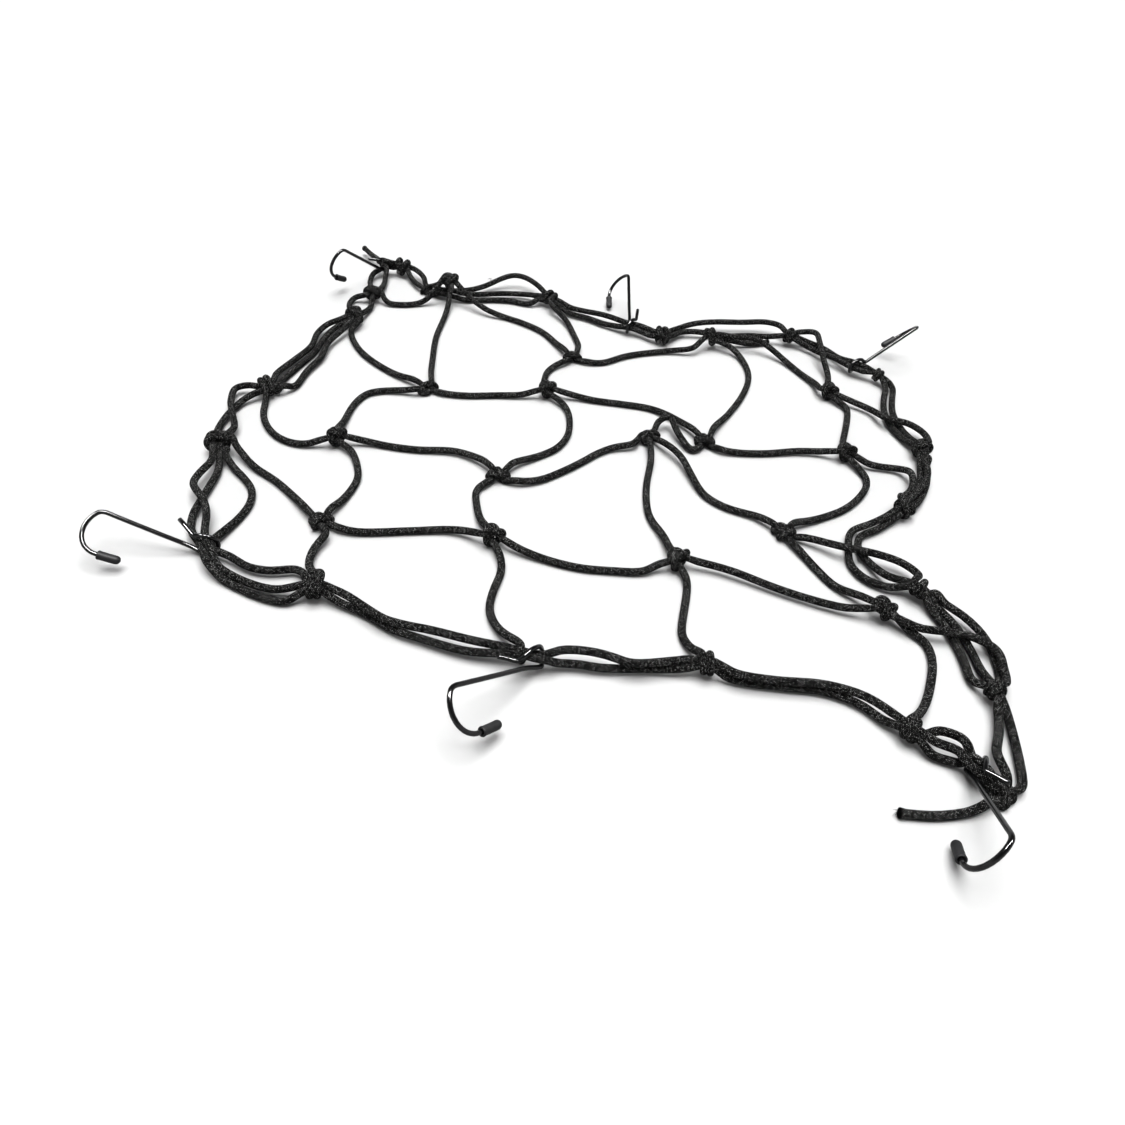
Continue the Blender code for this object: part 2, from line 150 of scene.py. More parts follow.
# A cut end: how far it is from any knot, how much its last stretch swells, how long that is, and its fibres
CUT_CLEAR = 20
CUT_SWELL = 0.16
CUT_STRETCH = 1.3
CUT_FIBRES = 16
CUT_FIBRE_LENGTH = 1.8
# A fibre's radius at its root and at its tip, the sides it has, and how high above the floor it stays
FIBRE_R = 0.11
FIBRE_TIP_R = 0.05
FIBRE_SIDES = 5
FIBRE_CLEAR = 0.2

# The braid's yarns: how many run each way round the cord, and how many cross a metre of its length
YARNS_AROUND = 14
YARNS_ALONG = 760

# The photograph's view: the camera's place in the plan, degrees down and of roll, and the lens in millimetres
CAMERA_AT = (-13.58, -439.28, 323.2)
LOOKS_DOWN = 40.27
ROLL = 4.5
LENS = 28.8

# ---------------------------------------------------------------- the net's plan

# Places of the knots and eyes. Small letters are mesh knots, the rest are edge knots and the hooks' eyes
Knot = namedtuple("Knot", "x y z")
KNOTS = {
    "h": Knot(-153, -41, 6), "i": Knot(-54, -46, 6), "j": Knot(50, -54, 6), "n": Knot(158, -83, 7),
    "d": Knot(-163, 41, 6), "e": Knot(-58, 18, 6), "f": Knot(37, 75, 7), "k": Knot(114, -17, 6),
    "a": Knot(-118, 116, 6), "c": Knot(-34, 122, 6), "g": Knot(74, 76, 6), "l": Knot(167, 70, 6),
    "p": Knot(-124, 268, 18.5), "b": Knot(-19, 179, 6), "o": Knot(90, 218, 9), "m": Knot(170, 151, 6),
    "F1": Knot(-139, -101, 7), "F2": Knot(-30, -136.5, 7.5), "F3": Knot(60, -134, 7.5),
    "F4": Knot(152, -165, 7), "R1": Knot(200, -137, 7), "R2": Knot(181, -64, 7), "R3": Knot(191, 10, 7),
    "R4": Knot(219, 80, 7), "B4": Knot(153, 233, 7.5), "B3": Knot(50, 218, 7), "B2": Knot(-41, 270, 7.5),
    "B1": Knot(-144, 275, 6), "L1": Knot(-232, 23, 7), "L2": Knot(-223, 94, 7), "L3": Knot(-190, 211, 7),
    "L4": Knot(-185, 253, 7), "NL": Knot(-205, -74, 6.5), "E2": Knot(-22, -139, 8.5),
    "NRh": Knot(177, -183, 7.5), "NR": Knot(187, -195, 6), "FR": Knot(212, 181, 7),
    "FRh": Knot(196, 191, 8), "BM": Knot(25, 231, 7), "FLk": Knot(-171, 309, 8), "FL": Knot(-186, 307, 9),
}

Strand = namedtuple("Strand", "start end via")
STRANDS = [
    # rows, front to back: points between two knots, which lie on the floor if they have no height
    Strand("h", "i", [(-139, -48, 3.5), (-128, -48), (-100, -43), (-78, -40, 3)]),
    Strand("i", "j", [(-38, -54, 4), (-20, -60), (-3, -64), (15, -64), (33, -63, 3)]),
    Strand("j", "n", [(65, -55, 5), (81, -60, 5), (101, -69, 4), (121, -77, 4), (141, -83, 5)]),
    Strand("d", "e", [(-147, 43, 3.5), (-132, 41), (-112, 39), (-88, 40, 3), (-72, 33, 4)]),
    Strand("e", "f", [(-44, 11, 4), (-33, 15, 2.5), (-22, 24), (-8, 38), (6, 54), (16, 60, 3), (28, 62, 5)]),
    Strand("f", "k", [(49, 71, 8), (56, 52, 6), (63, 32, 4), (70, 14), (82, 3), (100, -4, 3)]),
    Strand("a", "c", [(-115, 106, 3.5), (-104, 111), (-88, 111), (-68, 115), (-48, 117, 3.5)]),
    Strand("c", "g", [(-18, 121, 4), (0, 118), (22, 116), (40, 113), (51, 105, 3), (63, 92, 4)]),
    Strand("g", "l", [(83, 65, 4), (97, 65), (115, 67), (137, 72, 3), (153, 72, 4)]),
    Strand("p", "b", [
        (-115, 264, 14), (-107, 256, 10), (-98, 248, 7), (-89, 242, 5), (-74, 238), (-56, 228), (-42, 216),
        (-29, 194, 3.5),
    ]),
    Strand("b", "o", [
        (-9, 173, 3.5), (-2, 173), (6, 175), (20, 187), (38, 196), (58, 202, 3), (75, 203, 6),
    ]),
    Strand("o", "m", [
        (109, 217, 11), (123, 217, 11), (135, 210, 7), (146, 198, 3), (156, 180), (164, 163, 4),
    ]),
    # columns, left to right
    Strand("h", "d", [(-147, -27, 4), (-143, -12), (-141, 3), (-145, 18), (-151, 31, 3.5)]),
    Strand("d", "a", [(-164, 59, 4), (-164, 76), (-162, 92), (-157, 104), (-147, 109), (-134, 110, 3)]),
    Strand("a", "p", [
        (-118, 135, 4), (-121, 160), (-124, 195), (-123, 225), (-122, 244, 5), (-122, 256, 11),
    ]),
    Strand("i", "e", [(-62, -32, 4), (-67, -13), (-69, 2), (-66, 11, 3.5)]),
    Strand("e", "c", [(-46, 33, 4), (-35, 42), (-24, 52), (-17, 68), (-16, 84), (-19, 104), (-27, 117, 4)]),
    Strand("c", "b", [(-37, 138, 4), (-36, 154), (-30, 164, 3)]),
    Strand("j", "f", [(44, -33, 3.5), (36, -14), (34, 4), (35, 25), (38, 47, 3), (41, 64, 5)]),
    Strand("f", "g", [(43, 86, 8), (52, 96, 8), (54, 85, 7), (59, 73, 4), (66, 61, 2.5), (71, 66, 3.5)]),
    Strand("g", "o", [(79, 87, 4), (93, 112), (106, 140), (114, 168), (114, 187), (108, 206, 4)]),
    Strand("n", "k", [(146, -78, 4), (137, -63), (128, -47), (121, -33, 3)]),
    Strand("k", "l", [(125, -8, 4), (140, 0), (156, 11), (170, 28), (177, 45), (173, 58, 3.5)]),
    Strand("l", "m", [(168, 85, 4), (174, 104), (179, 122), (181, 136, 2.5), (176, 146, 4)]),
    # from the inside to the edge
    Strand("h", "F1", [(-144, -53, 6), (-149, -65, 4), (-149, -78, 4), (-144, -90, 7)]),
    Strand("i", "F2", [(-49, -57, 4), (-46, -70), (-49, -88), (-49, -104), (-42, -119, 4)]),
    Strand("j", "F3", [(54, -63, 4), (55, -72), (52, -92), (50, -110), (54, -121, 4)]),
    Strand("n", "F4", [(168, -93, 4.5), (177, -101), (177, -114), (172, -130), (164, -147, 4)]),
    Strand("n", "R1", [(170, -95, 6), (187, -97, 7), (201, -100, 7), (210, -108, 7), (209, -123, 6)]),
    Strand("k", "R2", [(130, -25, 5), (145, -34, 8), (163, -38, 8), (177, -43, 7), (184, -52, 7)]),
    Strand("l", "R3", [(179, 61, 4), (193, 60, 3), (201, 58, 4), (205, 51, 7), (204, 41, 7), (200, 30, 7)]),
    Strand("m", "R4", [(182, 152, 4), (197, 133, 4), (204, 115, 8), (218, 110, 8), (227, 102, 6)]),
    Strand("m", "B4", [(175, 176, 3), (173, 196, 9), (173, 217, 12), (172, 235, 12), (162, 236, 10)]),
    Strand("b", "B2", [(-14, 196, 3), (-19, 218), (-26, 238, 4)]),
    Strand("p", "L4", [(-131, 262, 13), (-137, 257, 8), (-145, 252, 3), (-158, 247), (-172, 247, 3)]),
    Strand("p", "B1", [(-129, 273, 11)]),
    Strand("a", "L3", [(-138, 129, 3), (-155, 142), (-171, 158), (-182, 175), (-189, 194, 3.5)]),
    Strand("d", "L2", [(-178, 35, 3), (-192, 36), (-206, 46), (-217, 64), (-221, 83, 3)]),
    Strand("h", "L1", [(-172, -22, 3), (-188, -6), (-206, 7, 3)]),
    # the front edge
    Strand("NL", "F1", [(-192, -79, 5), (-180, -86, 4), (-167, -88, 4), (-154, -85, 4), (-147, -90, 5)]),
    Strand("NL", "F1", [(-195, -88, 4), (-179, -97, 4), (-159, -102, 4)]),
    Strand("NL", "F1", [(-199, -88, 6), (-185, -98, 2), (-168, -106, 2.5), (-152, -109, 3)]),
    Strand("F1", "F2", [(-124, -104, 7), (-111, -113, 7), (-97, -122, 7), (-77, -125, 7), (-55, -131, 8)]),
    Strand("F1", "F2", [(-127, -107, 4), (-112, -113, 3), (-96, -123, 4), (-76, -130, 4), (-55, -136, 5)]),
    Strand("F2", "E2", []),
    Strand("F2", "E2", []),
    Strand("E2", "F3", [(-12, -134, 9), (0, -133, 9), (12, -135, 9), (23, -139, 9), (41, -135, 8)]),
    Strand("E2", "F3", [(-12, -139, 5), (-3, -138, 4.5), (8, -139, 4), (28, -137, 3.5), (46, -136, 4.5)]),
    Strand("F3", "F4", [(72, -139, 8), (94, -141, 7), (116, -141, 7), (134, -146, 7), (144, -154, 7)]),
    Strand("F3", "F4", [(72, -139, 3.5), (96, -141, 3), (118, -142, 3), (134, -149, 3), (142, -158, 3.5)]),
    Strand("F4", "NRh", [(164, -164, 7), (171, -166, 7.5), (176, -170, 8)]),
    Strand("F4", "NRh", [(161, -173, 8.5), (168, -175, 8.5), (173, -179, 8.5)]),
    Strand("F4", "NRh", [(160, -176, 3), (167, -178, 3), (174, -181, 4)]),
    # the right edge
    Strand("NRh", "NR", []),
    Strand("NRh", "NR", []),
    Strand("NRh", "NR", []),
    Strand("NR", "R1", [(188, -186, 7.5), (189, -174, 6), (194, -163, 5), (198, -150, 5)]),
    Strand("NR", "R1", [(197, -189, 3), (200, -176, 3), (202, -163, 3), (203, -149, 4)]),
    Strand("R1", "R2", [(193, -129, 3.5), (193, -113, 3), (191, -93, 3), (185, -75, 4)]),
    Strand("R1", "R2", [(200, -121, 3), (199, -104, 2.5), (196, -87, 2.5), (189, -74, 4)]),
    Strand("R1", "R2", [(208, -125, 3), (210, -107, 3), (208, -94, 4), (200, -82, 6), (191, -74, 7)]),
    Strand("R2", "R3", [
        (167, -62, 4), (155, -55, 3), (149, -42, 2.5), (151, -27, 3), (154, -14, 4), (166, -8, 6),
        (179, 1, 7),
    ]),
    Strand("R2", "R3", [
        (167, -55, 6), (160, -41, 3.5), (156, -28, 3), (160, -16, 3), (172, -8, 3), (183, 2, 4),
    ]),
    Strand("R3", "R4", [(197, 20, 8), (205, 30, 8.5), (212, 41, 8.5), (216, 52, 8), (217, 63, 8)]),
    Strand("R3", "R4", [(202, 20, 4), (208, 31, 3), (214, 43, 3), (218, 56, 3), (220, 66, 4)]),
    Strand("R3", "R4", [(198, 22, 3), (204, 31, 3), (209.5, 42, 3), (213.5, 54, 3), (215.5, 64, 4)]),
    Strand("R4", "FR", [(213, 96, 3), (208, 111, 3), (207, 131, 3), (211, 151, 3), (216, 169, 4)]),
    Strand("R4", "FR", [(218, 94, 4), (214, 111, 3), (213, 131, 3), (217, 151, 3), (221, 169, 4)]),
    Strand("FR", "FRh", [(204, 187, 9)]),
    Strand("FR", "FRh", [(203, 184, 5)]),
    # the back edge
    Strand("FRh", "B4", [(184, 202, 7), (174, 214, 5), (164, 225, 5)]),
    Strand("FRh", "B4", [(188, 207, 5), (179, 221, 5), (167, 231, 5)]),
    Strand("B4", "B3", [
        (148, 247, 9), (137, 253, 9), (116, 251, 8), (94, 248, 8), (77, 244, 7), (63, 234, 6),
    ]),
    Strand("B4", "B3", [(136, 233, 6), (119, 236, 4), (103, 232, 4), (75, 234, 5), (61, 228, 5)]),
    Strand("B4", "o", [(136, 230, 3), (124, 225, 2.5), (111, 223, 4)]),
    Strand("B3", "BM", [(39, 226, 8)]),
    Strand("B3", "BM", [(38, 223, 5)]),
    Strand("BM", "B2", [(13, 242, 7), (2, 250, 6), (-10, 255, 5), (-24, 258, 6)]),
    Strand("BM", "B2", [(12, 235, 4), (2, 240, 3), (-8, 247, 3), (-24, 253, 3.5)]),
    Strand("B2", "B1", [
        (-51, 287, 9), (-65, 302, 10), (-75, 304, 10), (-86, 298, 8), (-97, 289, 5), (-113, 279, 4),
    ]),
    Strand("B2", "B1", [(-62, 281, 4), (-82, 279, 4), (-103, 273, 4), (-125, 272, 4)]),
    Strand("B2", "B1", [(-56, 266, 3), (-76, 270, 2.5), (-98, 267, 2.5), (-122, 262, 2.5)]),
    # the left edge
    Strand("B1", "FLk", [(-149, 292, 6), (-155, 302, 7), (-161, 307, 8)]),
    Strand("B1", "FLk", [(-156, 287, 4), (-163, 299, 5)]),
    Strand("FLk", "FL", []),
    Strand("FLk", "FL", []),
    Strand("FL", "L4", [(-193, 300, 5), (-193, 280, 4)]),
    Strand("FL", "L4", [(-183, 297, 5), (-181, 278, 4)]),
    Strand("L4", "L3", [(-198, 251, 4), (-201, 240, 3), (-197, 226, 4)]),
    Strand("L4", "L3", [(-182, 246, 4), (-183, 237, 3), (-185, 225, 4)]),
    Strand("L3", "L2", [(-206, 197, 6), (-212, 184, 4), (-211, 161, 4), (-218, 139, 3.5), (-224, 117, 4)]),
    Strand("L3", "L2", [
        (-201, 196, 3.5), (-206, 178, 2.5), (-207, 157, 2.5), (-213, 134, 2.5), (-218, 113, 3),
    ]),
    Strand("L3", "L2", [(-194, 187, 6), (-200, 167, 5), (-200, 147, 4), (-205, 127, 3), (-208, 103, 3)]),
    Strand("L2", "L1", [(-235, 96, 6), (-244, 93, 5), (-243, 80, 5), (-235, 58, 7), (-229, 44, 5)]),
    Strand("L2", "L1", [(-234, 82, 4), (-239, 67, 3), (-240, 47, 3)]),
    Strand("L1", "NL", [
        (-229, 3, 7), (-231, -10, 7.5), (-231, -22, 8), (-224, -32, 9), (-217, -41, 9), (-213, -50, 7.5),
        (-211, -60, 6.5),
    ]),
    Strand("L1", "NL", [
        (-226, 6, 3), (-224, -4, 3), (-224, -16, 3), (-224, -30, 3), (-224, -42, 3), (-222, -52, 3.5),
        (-218, -62, 4.5),
    ]),
    Strand("L1", "NL", [
        (-217, 4, 3), (-207, -6), (-199, -17), (-196, -30), (-198, -44), (-201, -55, 3), (-203, -62, 4),
    ]),
    # the cord's two cut ends
    Strand("NR", "cut", [(176, -202, 5), (168, -205), (153, -208), (138, -208)]),
    Strand("FL", "cut", [(-193, 319, 8), (-201, 330, 7), (-212, 347, 6)]),
]

# Mesh knots: the neighbours to the left, back, right and front, and whether the collar lies on top
Bend = namedtuple("Bend", "left back right front collar_up")
BENDS = {
    "h": Bend("L1", "d", "i", "F1", True), "i": Bend("h", "e", "j", "F2", False),
    "j": Bend("i", "f", "n", "F3", False), "n": Bend("j", "k", "R1", "F4", False),
    "d": Bend("L2", "a", "e", "h", False), "e": Bend("d", "c", "f", "i", True),
    "f": Bend("e", "g", "k", "j", True), "k": Bend("f", "l", "R2", "n", True),
    "a": Bend("L3", "p", "c", "d", True), "c": Bend("a", "b", "g", "e", False),
    "g": Bend("c", "o", "l", "f", True), "l": Bend("g", "m", "R3", "k", False),
    "p": Bend("L4", "B1", "b", "a", True), "b": Bend("p", "B2", "o", "c", True),
    "o": Bend("b", "B4", "m", "g", False), "m": Bend("o", "B4", "R4", "l", False),
}

# Edge knots: the neighbours before and after along the edge, the mesh knot whose cord is tied round them, and
# the cord's radius in the knot
Hitch = namedtuple("Hitch", "before after tied girth")
HITCHES = {
    "F1": Hitch("NL", "F2", "h", 1.8), "F2": Hitch("F1", "E2", "i", 1.62),
    "F3": Hitch("E2", "F4", "j", 1.62), "F4": Hitch("F3", "NRh", "n", 1.6),
    "R1": Hitch("NR", "R2", "n", 1.42), "R2": Hitch("R1", "R3", "k", 1.75),
    "R3": Hitch("R2", "R4", "l", 1.7), "R4": Hitch("R3", "FR", "m", 1.75),
    "FR": Hitch("R4", "FRh", None, 1.35), "B4": Hitch("FRh", "B3", "m", 1.75),
    "B3": Hitch("B4", "BM", None, 1.8), "B2": Hitch("BM", "B1", "b", 1.7),
    "B1": Hitch("B2", "FLk", "p", 1.5), "FLk": Hitch("B1", "FL", None, 1.9),
    "L4": Hitch("FL", "L3", "p", 1.8), "L3": Hitch("L4", "L2", "a", 1.85),
    "L2": Hitch("L3", "L1", "d", 1.9), "L1": Hitch("L2", "NL", "h", 2.0),
    "NR": Hitch("NRh", "R1", None, 1.5),
}

# Where the edge cords run straight through a hook's eye, with the edge knots before and after it
EYES = {
    "NL": ("L1", "F1"), "E2": ("F2", "F3"), "NRh": ("F4", "NR"),
    "FRh": ("FR", "B4"), "BM": ("B3", "B2"), "FL": ("FLk", "L4"),
}

# Hooks: the eye's place in the net, its bundle's line, the shank's heading and rise, the throat's turn, how
# far the eye leans along the bundle, and the tail's length, heading, rise and height where it leaves the eye
Hook = namedtuple("Hook", "at axis heading rise turn lean tail")
HOOKS = {
    "near_left": Hook("NL", -54, 177, 16, 331, -6, (13, 141, 18, 2.4)),
    "front": Hook("E2", -5, 228, 19, 317, -6.5, (10, 178, 10, -1.2)),
    "near_right": Hook("NRh", -58, 260, 22, 238, 6, (10, -36, 0, 2.4)),
    "far_left": Hook("FL", -15, 242, 30, 254, -4, (8, 200, 12, 2.4)),
    "back": Hook("BM", -12, 93, 20, 309, 4, (11, 84, 18, 2.4)),
    "far_right": Hook("FRh", -40, 26, 25, 319, 3, (4, -20, -25, 2.4)),
}

# A sheet bend, about 10 knot cord radii long and drawn in them: x runs from the collar's ends to the loop's
# legs, and z away from the side where the collar lies across the legs
LOOP = [
    (4.8, 1.5, 0), (3.3, 1.05, 0), (1.7, 1.1, 0), (0, 1.6, 0.2), (-2.3, 1.9, 0.8), (-3.6, 0, 1.3),
    (-2.3, -1.9, 0.8), (0, -1.6, 0.2), (1.7, -1.1, 0), (3.3, -1.05, 0), (4.8, -1.5, 0),
]
COLLAR = [
    (-5.4, -2.0, -0.4), (-4.6, -1.0, -1.2), (-3.4, -0.4, -1.4), (-1.8, -0.2, 0), (-1.2, 0.3, 2.2),
    (-0.2, 1.4, 4.0), (1.0, 3.2, 3.4), (1.6, 4.4, 1.2), (1.7, 4.0, -1.4), (1.7, 1.5, -2.4),
    (1.7, -1.5, -2.4), (1.6, -4.0, -1.4), (1.4, -4.3, 0.8), (1.2, -2.4, 2.4), (0.9, -0.2, 2.1),
    (0.3, 1.6, 2.0), (-1.0, 3.4, 1.8), (-3.2, 4.0, 1.0), (-5.0, 3.6, 0.2),
]
# A turn and a half round the edge bundle, crossing over itself, in cord radii: x along the edge, y towards
# the tied cord
TURNS = [
    (-0.8, 3.4, 1.2), (-1.1, 2.0, 2.6), (-1.2, 0, 3.0), (-1.2, -2.2, 2.4), (-1.0, -3.4, 0),
    (-0.5, -1.8, -2.4), (0.1, 0, -2.6), (0.5, 2.0, -2.3), (0.3, 3.6, 0.2), (-0.3, 1.9, 3.9), (0.2, 0, 4.4),
    (1.0, -2.0, 3.0), (1.4, -3.4, 0.2), (1.4, -1.7, -2.4), (1.3, 0.6, -2.7),
]
# Its end where it goes on as an edge cord, and where it stops inside the knot
TURNS_OUT = [(1.7, 3.2, -0.9), (3.4, 2.6, 0.3), (5.0, 2.0, 0.2)]
TURNS_IN = [(1.2, 1.6, -2.4)]
# The knot that goes round only once, and its turn
SHORT_KNOT = "F2"
SHORT_TURN = [
    (-0.4, 3.2, 1.0), (0, 1.8, 2.5), (0.1, 0, 2.9), (0.2, -2.0, 2.2), (0.3, -3.2, 0), (0.4, -1.8, -2.4),
    (0.6, 0.4, -2.6),
]

# Where the turn starts if no cord comes to be tied
TURN_START = (-0.6, 2.4, -2.4)


def spot(name):
    knot = KNOTS[name]
    return np.array((knot.x, knot.y, knot.z), float) - CENTRE


def nearest_knot(place):
    return min(KNOTS, key=lambda name: np.linalg.norm(spot(name)[:2] - place[:2]))


def via_of(strand):
    """The strand's points, but for those within reach of a knot, where the pattern leads the cord."""
    via = [np.array((p[0], p[1], p[2] if len(p) > 2 else CORD_R), float) - CENTRE for p in strand.via]
    for name in (strand.start, strand.end):
        clear = BEND_CLEAR if name in BENDS else HITCH_CLEAR if name in HITCHES else 0
        if name == CROWN:
            clear = CROWN_CLEAR
        via = [p for p in via if clear == 0 or np.linalg.norm(p[:2] - spot(name)[:2]) > clear]
    return via


def unit(v):
    return v / np.linalg.norm(v)


def flat_unit(v):
    return unit(np.array((v[0], v[1], 0.0)))


def level(degrees):
    return np.array((cos(radians(degrees)), sin(radians(degrees)), 0.0))


# ---------------------------------------------------------------- hook wires

def hook_frame(hook):
    heading, rise, turn = radians(hook.heading), radians(hook.rise), radians(hook.turn)
    shank = np.array((cos(heading) * cos(rise), sin(heading) * cos(rise), sin(rise)))
    side = np.array((-sin(heading), cos(heading), 0.0))
    throat = side * cos(turn) + np.cross(shank, side) * sin(turn)
    return spot(hook.at), shank, throat, level(hook.axis)


def hook_line(hook):
    eye, shank, throat, axis = hook_frame(hook)
    out, up = eye_plane(hook)
    bend = eye + shank * SHANK
    line = [bend + shank * along + throat * across for along, across in (*TIP, *ARC)]
    under = eye - up * EYE_UP
    top = bend + shank * ARC[-1][0]
    line += [top + (under - top) * share for share in SHANK_POINTS]
    lean = axis * hook.lean
    for degrees, drift in EYE_TURN:
        outward = out * cos(radians(degrees)) * EYE_OUT
        upward = up * sin(radians(degrees)) * EYE_UP
        line.append(eye + outward + upward + lean * drift)
    length, heading, rise, leave = hook.tail
    # a tail that leaves below the eye's middle has one more point, above it
    if leave < 0:
        line.append(eye + out * (EYE_OUT - 0.4) + up * 1.6 + lean * 0.85)
        line.append(eye + out * (EYE_OUT - 0.2) + up * leave + lean * 1.3)
    else:
        line.append(eye + out * (EYE_OUT - 0.6) + up * leave + lean * 0.95)
    tail = level(heading) * cos(radians(rise)) + np.array((0, 0, sin(radians(rise))))
    line += [line[-1] + tail * length * share for share in (0.25, 0.6, 1.0)]
    return line


def eye_plane(hook):
    """The eye's two directions across the bundle: outwards, where the shank goes, and up."""
    _, shank, _, axis = hook_frame(hook)
    out = unit(shank - axis * shank.dot(axis))
    up = np.cross(axis, out)
    return out, up if up[2] > 0 else -up


def smooth(points, step):
    """Evenly spaced points on a centripetal Catmull-Rom curve through the given ones."""
    points = [np.asarray(p, float) for p in points]
    points = [p for k, p in enumerate(points) if k == 0 or np.linalg.norm(p - points[k - 1]) > 0.05]
    ends = [2 * points[0] - points[1], *points, 2 * points[-1] - points[-2]]
    curve = []
    for p0, p1, p2, p3 in zip(ends, ends[1:], ends[2:], ends[3:]):
        t1 = sqrt(np.linalg.norm(p1 - p0))
        t2 = t1 + sqrt(np.linalg.norm(p2 - p1))
        t3 = t2 + sqrt(np.linalg.norm(p3 - p2))
        t = np.linspace(t1, t2, max(3, round(np.linalg.norm(p2 - p1) / 0.4)), endpoint=False)[:, None]
        a1 = p0 + (p1 - p0) * t / t1
        a2 = p1 + (p2 - p1) * (t - t1) / (t2 - t1)
        a3 = p2 + (p3 - p2) * (t - t2) / (t3 - t2)
        b1 = a1 + (a2 - a1) * t / t2
        b2 = a2 + (a3 - a2) * (t - t1) / (t3 - t1)
        curve.append(b1 + (b2 - b1) * (t - t1) / (t2 - t1))
    curve = np.vstack([*curve, points[-1]])
    return evenly(curve, step)


def evenly(curve, step):
    run = np.concatenate([[0], np.cumsum(np.linalg.norm(np.diff(curve, axis=0), axis=1))])
    count = max(3, round(run[-1] / step) + 1)
    at = np.linspace(0, run[-1], count)
    return np.stack([np.interp(at, run, curve[:, k]) for k in range(3)], axis=1)


# ---------------------------------------------------------------- tying the cords

def ports_between(name, other):
    """The strand ends at this knot whose far end is at the other one."""
    found = []
    for index, strand in enumerate(STRANDS):
        if strand.start == name and strand.end == other:
            found.append((index, 0))
        elif strand.end == name and strand.start == other:
            found.append((index, 1))
    return found


def near_point(port):
    index, end = port
    strand = STRANDS[index]
    via = via_of(strand)
    if via:
        return via[-end]
    return spot(strand.start if end else strand.end)


def tie_bend(name, links):
    bend = BENDS[name]
    centre = spot(name)
    neighbours = (bend.right, bend.front, bend.left, bend.back)
    right, front, left, back = [ports_between(name, other)[0] for other in neighbours]
    toward = [flat_unit(near_point(port) - centre) for port in (right, front, left, back)]
    x = flat_unit(toward[0] + toward[1] - COLLAR_WEIGHT * (toward[2] + toward[3]))
    y = np.cross((0, 0, 1), x)
    if (toward[0] - toward[1]).dot(y) < 0:
        right, front = front, right
    if (toward[3] - toward[2]).dot(y) < 0:
        left, back = back, left
    z = np.array((0, 0, -1.0 if bend.collar_up else 1.0))
    size = KNOT_CORD_R * KNOT_SIZE.get(name, USUAL_KNOT_SIZE)
    place = lambda p: centre + (x * p[0] + y * p[1] + z * p[2]) * size
    links.append((right, [place(p) for p in LOOP], front))
    if bend.collar_up:
        links.append((left, [place(p) for p in COLLAR], back))
    else:
        links.append((back, [place((p[0], -p[1], p[2])) for p in COLLAR], left))


def tie_hitch(name, links):
    hitch = HITCHES[name]
    centre = spot(name)
    before, after = ports_between(name, hitch.before), ports_between(name, hitch.after)
    ahead = np.mean([flat_unit(near_point(p) - centre) for p in after], axis=0)
    behind = np.mean([flat_unit(near_point(p) - centre) for p in before], axis=0)
    x = flat_unit(ahead - behind)
    tied = ports_between(name, hitch.tied) if hitch.tied else []
    y = np.cross((0, 0, 1), x)
    if tied and (near_point(tied[0]) - centre).dot(y) < 0 or not tied and centre.dot(y) > 0:
        y = -y
    across = lambda port: (near_point(port) - centre).dot(y)
    before.sort(key=across, reverse=True)
    after.sort(key=across, reverse=True)
    spare_before = before.pop(0) if len(before) > len(after) else None
    spare_after = after.pop(0) if len(after) > len(before) else None
    size = hitch.girth * HITCH_SIZE
    for one, two, (aside, above) in zip(before, after, HITCH_ROWS[len(before)]):
        shift = y * aside + np.array((0, 0, above))
        line = [centre + (x * along + shift) * size for along in (-HITCH_RUN, 0, HITCH_RUN)]
        links.append((one, line, two))
    flip = -1 if spare_before else 1
    spare = spare_before or spare_after
    place = lambda p: centre + (x * p[0] * flip + y * p[1] + np.array((0, 0, p[2]))) * size
    first = [*tied, *ports_between(name, "cut"), None][0]
    pattern = SHORT_TURN if name == SHORT_KNOT else [*TURNS, *(TURNS_OUT if spare else TURNS_IN)]
    if not first:
        pattern = [TURN_START, *pattern[1:]]
    turns = [place(p) for p in pattern]
    links.append((first, turns, spare))


def tie_eye(name, links):
    centre = spot(name)
    before, after = (ports_between(name, other) for other in EYES[name])
    hook = next(hook for hook in HOOKS.values() if hook.at == name)
    _, _, _, axis = hook_frame(hook)
    side, above_eye = eye_plane(hook)
    if np.mean([(near_point(p) - centre).dot(axis) for p in after]) < 0:
        axis = -axis
    across = lambda port: (near_point(port) - centre).dot(side) + 0.3 * (near_point(port) - centre)[2]
    before.sort(key=across)
    after.sort(key=across)
    rows = EYE_ROWS[min(len(before), len(after))]
    for one, two, (aside, above) in zip(before, after, rows):
        shift = (side * aside + above_eye * above) * EYE_CORD_R
        line = [centre + axis * along + shift for along in (-EYE_RUN, 0, EYE_RUN)]
        links.append((one, line, two))
    for port in ports_between(name, "cut"):
        line = [
            centre + axis * 7 - side * 3 + np.array((0, 0, 3.0)),
            centre + np.array((0, 0, 2.4)),
            centre - axis * 5 + np.array((0, 0, 1.5)),
        ]
        links.append((None, line, port))


